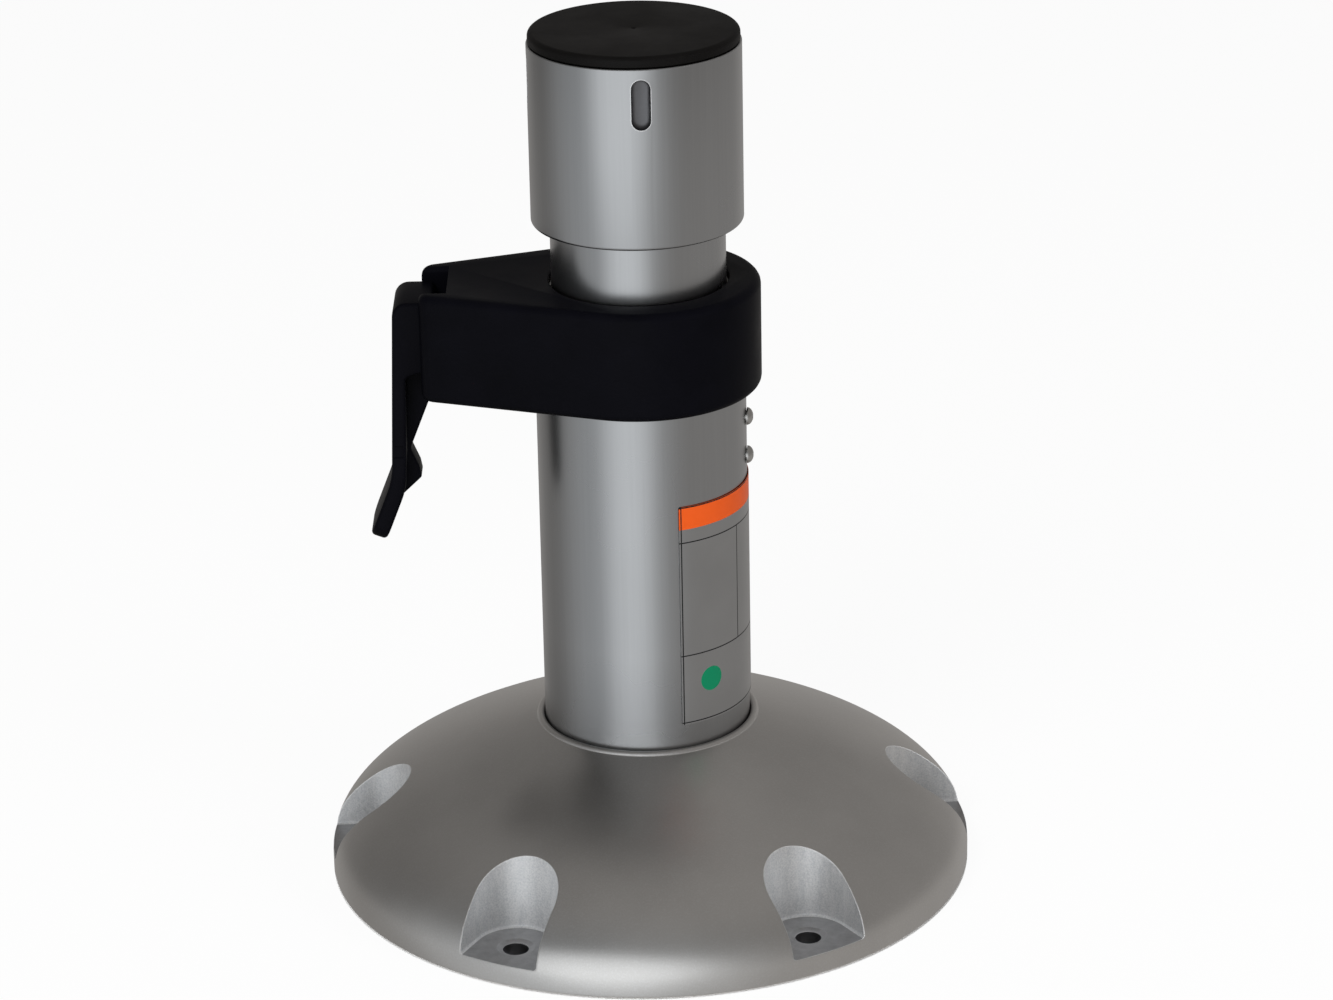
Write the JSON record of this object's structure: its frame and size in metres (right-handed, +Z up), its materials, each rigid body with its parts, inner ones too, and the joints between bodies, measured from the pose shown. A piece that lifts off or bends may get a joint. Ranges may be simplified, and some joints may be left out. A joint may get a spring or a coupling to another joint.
{
  "type": "boat seat pedestal",
  "caption": "Height-adjustable boat seat pedestal: round cast base, outer tube, clamp collar with a cam lever, and a sliding post with a slotted seat head.",
  "frame": {"origin": "centre of the base's underside", "axes": "+Z up along the post, -X towards the lever, -Y towards the picture's viewer"},
  "size_m": [0.2286, 0.2286, 0.3074],
  "materials": {
    "cast_aluminium": "blasted casting, satin",
    "tube_aluminium": "satin anodised tube",
    "rivet_aluminium": "bright",
    "black_plastic": "black, satin, glass filled",
    "cap_plastic": "brown-black, fine grain",
    "bearing_plastic": "natural acetal",
    "steel": "plain",
    "friction_rubber": "matt",
    "label_film": "thin film with fields of colour"
  },
  "bodies": {
    "root": {"base_casting": "cast_aluminium", "outer_tube": "tube_aluminium", "clamp_collar": "black_plastic", "collar_screw": "steel", "lever_pin": "steel", "upper_bushing": "bearing_plastic", "guide_key": "steel", "rivet_upper": "rivet_aluminium", "rivet_lower": "rivet_aluminium", "mandrel_upper": "steel", "mandrel_lower": "steel", "label_panel": "label_film"},
    "post": {"inner_post": "tube_aluminium", "head_sleeve": "tube_aluminium", "head_cap": "cap_plastic", "lower_bushing": "bearing_plastic"},
    "lever": {"cam_lever": "black_plastic"},
    "shoe": {"brake_shoe": "black_plastic", "brake_pad": "friction_rubber"}
  },
  "joints": [
    {"name": "post_slide", "type": "slide", "parent": "root", "child": "post", "axis": [0, 0, 1], "range_m": [-0.0205, 0.11]},
    {"name": "lever_hinge", "type": "hinge", "parent": "root", "child": "lever", "pos_m": [-0.0713, 0, 0.205], "axis": [0, 1, 0], "range_deg": [0, 55]},
    {"name": "shoe_slide", "type": "slide", "parent": "root", "child": "shoe", "axis": [-1, 0, 0], "range_m": [0, 0.0015]}
  ],
  "couplings": [
    {"joint": "shoe_slide", "follows": "lever_hinge", "m_per_rad": 0.0015625}
  ]
}
